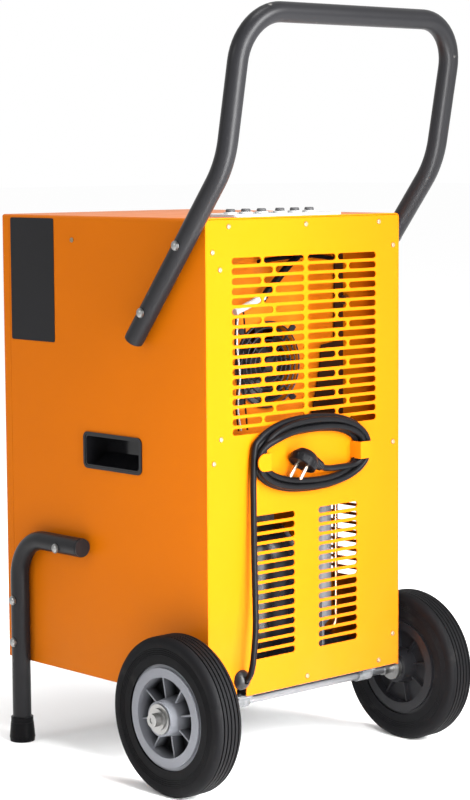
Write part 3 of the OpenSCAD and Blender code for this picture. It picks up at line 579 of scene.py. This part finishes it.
# %% [markdown]
# ## Turned shapes
# Tyres and the plug are turned: a profile goes once round an axis. The seam is
# merged and the normals are worked out again, so that every shell is closed.

# %% A lathe
def turned_shape(name, profile, placed, coat, steps=96, closed=True):
    """profile is (radius, height) pairs in mm; placed turns the local point into the frame."""
    shell = bmesh.new()
    rings = []
    for k in range(steps):
        a = 2 * math.pi * k / steps
        spots = [placed(Vector((r * math.cos(a), r * math.sin(a), h))) for r, h in profile]
        rings.append([shell.verts.new(spot) for spot in spots])
    count = len(profile)
    for k in range(steps):
        one, two = rings[k], rings[(k + 1) % steps]
        for i in range(count if closed else count - 1):
            j = (i + 1) % count
            shell.faces.new((one[i], one[j], two[j], two[i]))
    bmesh.ops.remove_doubles(shell, verts=shell.verts, dist=1e-6)
    bmesh.ops.recalc_face_normals(shell, faces=shell.faces)
    mesh = bpy.data.meshes.new(name)
    shell.to_mesh(mesh)
    shell.free()
    for face in mesh.polygons:
        face.use_smooth = True
    mesh.set_sharp_from_angle(angle=math.radians(32))
    mesh.materials.append(finishes[coat])
    return linked_object(name, mesh)


# %% [markdown]
# ## Wheels
# The tyre is a solid rubber ring with five grooves in its tread and fine rings on its
# sidewalls. It is turned from one profile, because a turned ring keeps each groove
# exactly even all the way round.

# %% Tyres
WHEEL_Y, WHEEL_Z, TYRE_IN, TYRE_W = 187.0, -8.0, 187.0, 41.0
GROOVES = (9.0, 14.75, 20.5, 26.25, 32.0)


def tyre_profile():
    wall = [(66.1, 1.2), (74, 1.0)]
    for r in (77.0, 79.4, 81.8, 84.2):
        wall += [(r, 0.9), (r + 0.35, 0.25), (r + 1.2, 0.25), (r + 1.55, 0.8)]
    wall += [(88, 0.4), (91.5, 0.15)]
    wall += [(91.5 + 8.4 * math.sin(t), 8.5 - 8.4 * math.cos(t)) for t in (0.35, 0.7, 1.05, 1.35)]
    tread = []
    for g in GROOVES:
        tread += [(99.9, g - 1.0), (97.3, g - 0.75), (97.3, g + 0.75), (99.9, g + 1.0)]
    far = [(r, TYRE_W - h) for r, h in reversed(wall)]
    return wall + tread + far


for side, sign in (("left", 1), ("right", -1)):
    def on_hub(p, sign=sign):
        return at(sign * (TYRE_IN + p.z), WHEEL_Y + p.y, WHEEL_Z + p.x)
    tyre = turned_shape("rubber_tyre_" + side, tyre_profile(), on_hub, "tyre_rubber", 112)
    settled(tyre, "tyre_rubber", "tyre_" + side, body="wheel_" + side)

# %% [markdown]
# ## Panel screws
# One domed screw with a cross recess is modelled, and the repeating tree sets it on
# each point with its own turn, because no two screws stop at the same angle.

# %% Screws
SCREW_SIDES = 16
SCREW_DOME = ((3.2, 0.0), (3.2, 0.6), (2.9, 1.2), (2.2, 1.7), (1.1, 1.95))  # radius, height
RECESS_WAIST, RECESS_ARM, RECESS_FLOOR = 0.4, 1.05, 0.9
SCREW_TURN, FIRST_SEED = 1.5, 5


def screw_ring(shell, radii, height):
    ring = []
    for k, r in enumerate(radii):
        a = 2 * math.pi * k / SCREW_SIDES
        ring.append(shell.verts.new(Vector((r * math.cos(a), r * math.sin(a), height)) / 1000))
    return ring


def screw_shape():
    shell = bmesh.new()
    rings = [screw_ring(shell, [r] * SCREW_SIDES, h) for r, h in SCREW_DOME]
    for low, high in zip(rings, rings[1:]):
        for k in range(SCREW_SIDES):
            j = (k + 1) % SCREW_SIDES
            shell.faces.new((low[k], low[j], high[j], high[k]))
    cross = [RECESS_WAIST if k % 4 else RECESS_ARM for k in range(SCREW_SIDES)]
    pit = screw_ring(shell, cross, RECESS_FLOOR)
    for k in range(SCREW_SIDES):
        j = (k + 1) % SCREW_SIDES
        shell.faces.new((rings[-1][k], rings[-1][j], pit[j], pit[k]))
    shell.faces.new(pit)
    shell.faces.new(list(reversed(rings[0])))
    bmesh.ops.recalc_face_normals(shell, faces=shell.faces)
    mesh = bpy.data.meshes.new("screw")
    shell.to_mesh(mesh)
    shell.free()
    for face in mesh.polygons:
        face.use_smooth = True
    return linked_object("screw", mesh)


rear_spots = [(x, 204.0, z) for x in (-132, 0, 132) for z in (589.5, 11)]
rear_spots += [(x, 204.0, z) for x in (-158.8, 158.8) for z in (43, 300, 558.5)]
rear_spots += [(146.6, 204.0, 537), (146.6, 204.0, 329)]
sets = [(rear_spots, (-math.pi / 2, 0, 0)), ([(170.0, -54, 568.6)], (0, math.pi / 2, 0)),
        ([(-170.0, -54, 568.6)], (0, -math.pi / 2, 0))]
screw = screw_shape()
screw_sets = []
for number, (spots, facing) in enumerate(sets):
    spot_mesh = bpy.data.meshes.new("screw_spots")
    spot_mesh.from_pydata([at(*p) for p in spots], [], [])
    screw_sets.append(baked(REPEAT, linked_object("screw_spots", spot_mesh), "screws_%d" % number,
                            shape=screw, facing=facing, turn_spread=SCREW_TURN, seed=FIRST_SEED + number,
                            coat=finishes["screw_steel"]))
bpy.data.objects.remove(screw)
settled(fused(screw_sets, "domed_screws"), "screw_steel", "panel_screws")

# %% [markdown]
# ## The plug
# A moulded rubber plug: a round face with a recess for the pins, a shoulder that
# narrows to a crown with finger grips, and a ribbed relief where the lead goes in.

# %% Plug and its relief
PLUG_TILT, RELIEF_TILT = -38, -78.6
RELIEF_LENGTH, RELIEF_R, RELIEF_TAPER, RELIEF_RIB, RELIEF_RINGS = 21.0, 9.0, 3.5, 0.45, 15
GRIPS, GRIP_R = 14, 17.9
plug_turn = Matrix.Rotation(math.radians(PLUG_TILT), 4, "Y")
plug_place = at(20, 224.3, 299)


def in_plug(p):
    return plug_place + (plug_turn @ (Vector(p) / 1000))


PLUG = [(0.0, -12.4), (14.6, -12.4), (15.0, -13.6), (16.0, -14.0), (17.8, -13.7), (18.4, -12.8), (18.4, -4.0),
        (17.9, -2.6), (17.0, -1.6), (14.2, 2.6), (12.0, 5.2), (10.4, 5.9), (0.0, 6.0)]
body = turned_shape("plug_core", PLUG, in_plug, "black_rubber", 48, closed=False)
relief_turn = Matrix.Rotation(math.radians(RELIEF_TILT), 4, "Y")
relief = []
for k in range(RELIEF_RINGS):
    h = RELIEF_LENGTH * k / (RELIEF_RINGS - 1)
    r = RELIEF_R - RELIEF_TAPER * k / (RELIEF_RINGS - 1)
    relief.append((r + (RELIEF_RIB if k % 2 else -RELIEF_RIB), h))
relief = [(0.0, 0.0)] + relief + [(0.0, RELIEF_LENGTH)]


def in_relief(p):
    return in_plug(Vector((-9.4, 0, -0.3)) + relief_turn @ Vector(p))


sleeve = turned_shape("plug_relief", relief, in_relief, "black_rubber", 28, closed=False)
GRIP = [(0.0, 0), (0.9, 0.3), (1.1, 2.5), (0.8, 5.0), (0.0, 5.4)]
grips = []
for k in range(GRIPS):
    a = 2 * math.pi * (k + 0.5) / GRIPS

    def on_edge(p, a=a):
        return in_plug((GRIP_R * math.cos(a) + p.x, GRIP_R * math.sin(a) + p.y, -9.6 + p.z))
    grips.append(turned_shape("grip", GRIP, on_edge, "black_rubber", 8, closed=False))
plug = fused([body, sleeve] + grips, "mains_plug")
settled(plug, "black_rubber", "plug_body")

# %% [markdown]
# ## Wiring seen through the slots
# A black cable runs along the top and a thicker one comes down from it to the fan. A
# pale sleeve and three thin wires hang beside the fan. They are swept tubes, since a
# cable follows a line, and they ride on the machine.

# %% Inner wiring
top_run = smooth_line([(-4, 112, 539), (-34, 112, 542), (-74, 112, 544.5),
                       (-112, 112, 543), (-144, 112, 538)], 5)
settled(swept("top_cable", top_run, 3.0, 12, "black_rubber"), "black_rubber")
fan_run = smooth_line([(-68, 118, 544), (-51, 118, 532), (-31.5, 118, 515),
                       (-15, 118, 501), (-4.6, 118, 490)], 5)
settled(swept("fan_cable", fan_run, 5.0, 12, "black_rubber"), "black_rubber")
sleeve_run = smooth_line([(-5, 119, 492), (-2.7, 120, 494), (15, 120, 487),
                          (31, 120, 481.5), (45, 120, 477)], 5)
settled(swept("cable_sleeve", sleeve_run, 4.6, 12, "white_strap"), "tank_plastic")
WIRE_R, WIRE_HEIGHTS = 1.2, (477, 437, 392, 353, 323)
WIRES = (("pale", (34, 36.1, 31.2, 35, 30)), ("dark", (25.4, 22.2, 27.8, 22.9, 19.5)),
         ("dark", (39, 41, 37, 40, 36)))
for count, (shade, xs) in enumerate(WIRES):
    drop = smooth_line([(x, 114 + count, z) for x, z in zip(xs, WIRE_HEIGHTS)], 4)
    coat, slot = ("white_strap", "tank_plastic") if shade == "pale" else ("black_rubber", "black_rubber")
    settled(swept("control_wire_%d" % count, drop, WIRE_R, 8, coat), slot)

# %% [markdown]
# ### A painted-shade sheet beside the fan plate
# Beyond the plate's curved edge the slots look into shade. A near-black sheet is put
# there as painted shade; it is cut to one outline and given its thickness.

# %% Painted shade sheet
# Outline of the sheet of painted shade, as (x, z) in mm.
SHADE_SHEET = [(-166, 300), (-100, 300), (-104, 320), (-109, 340), (-114, 360), (-119, 382), (-123, 404),
          (-125, 424), (-149, 427), (-150, 545), (-166, 545)]
SHADE_SHEET_NEAR, SHADE_SHEET_FAR = 105.4, 104.0
corner_count = len(SHADE_SHEET)
shade_sheet_mesh = bpy.data.meshes.new("side_baffle")
shade_sheet_mesh.from_pydata(
    [at(x, y, z) for y in (SHADE_SHEET_NEAR, SHADE_SHEET_FAR) for x, z in SHADE_SHEET], [],
    [list(range(corner_count)), list(range(2 * corner_count - 1, corner_count - 1, -1))]
    + [(i, i + corner_count, (i + 1) % corner_count + corner_count, (i + 1) % corner_count)
       for i in range(corner_count)])
shell = bmesh.new()
shell.from_mesh(shade_sheet_mesh)
bmesh.ops.recalc_face_normals(shell, faces=shell.faces)
shell.to_mesh(shade_sheet_mesh)
shell.free()
shade_sheet_mesh.materials.append(finishes["dark_baffle"])
settled(linked_object("side_baffle", shade_sheet_mesh), "paint_inner")

# %% [markdown]
# ## Floor and light
# A pale floor, a bright even surround and one large soft light from the rear corner.
# A tall strip near the fold brightens the rear panel on that side; a narrow strip and
# a light from above lift the side and the top.

# %% Studio
floor_mesh = bpy.data.meshes.new("studio_floor")
FLOOR = 50  # half its width in metres, so that its edge is out of sight
floor_mesh.from_pydata([(-FLOOR, -FLOOR, 0), (FLOOR, -FLOOR, 0), (FLOOR, FLOOR, 0), (-FLOOR, FLOOR, 0)],
                       [], [(0, 1, 2, 3)])
floor_mesh.materials.append(finish("studio_floor", (0.985, 0.985, 0.985), 0.9, drift=0.005, specular=0.0,
                                   grain=(40, 0.00002)))
studio_floor = linked_object("studio_floor", floor_mesh)
studio_floor.location.z = cad_low.z
bpy.context.view_layer.update()


def soft_light(name, place, aim, size, power, height=None):
    lamp = bpy.data.lights.new(name, "AREA")
    lamp.size, lamp.energy = size, power
    if height:
        lamp.shape = "RECTANGLE"
        lamp.size_y = height
    obj = bpy.data.objects.new(name, lamp)
    bpy.context.scene.collection.objects.link(obj)
    obj.location = place
    obj.rotation_euler = (Vector(aim) - Vector(place)).to_track_quat("-Z", "Y").to_euler()


soft_light("rear_key", (-0.9, 3.4, 1.9), (0, 0.1, 0.45), 1.5, 300)
soft_light("fold_light", (0.20, 0.66, 0.42), (0.17, 0.16, 0.40), 0.2, 24, height=1.2)
soft_light("side_strip", (3.2, -0.6, 1.7), (0, 0, 0.5), 0.35, 16)
soft_light("top_fill", (0.3, 0.4, 3.2), (0, 0, 0.5), 0.9, 30)
surround = bpy.data.worlds.new("studio_surround")
surround.use_nodes = True
surround.node_tree.nodes["Background"].inputs["Color"].default_value = (1, 1, 1, 1)
surround.node_tree.nodes["Background"].inputs["Strength"].default_value = 1.0
bpy.context.scene.world = surround
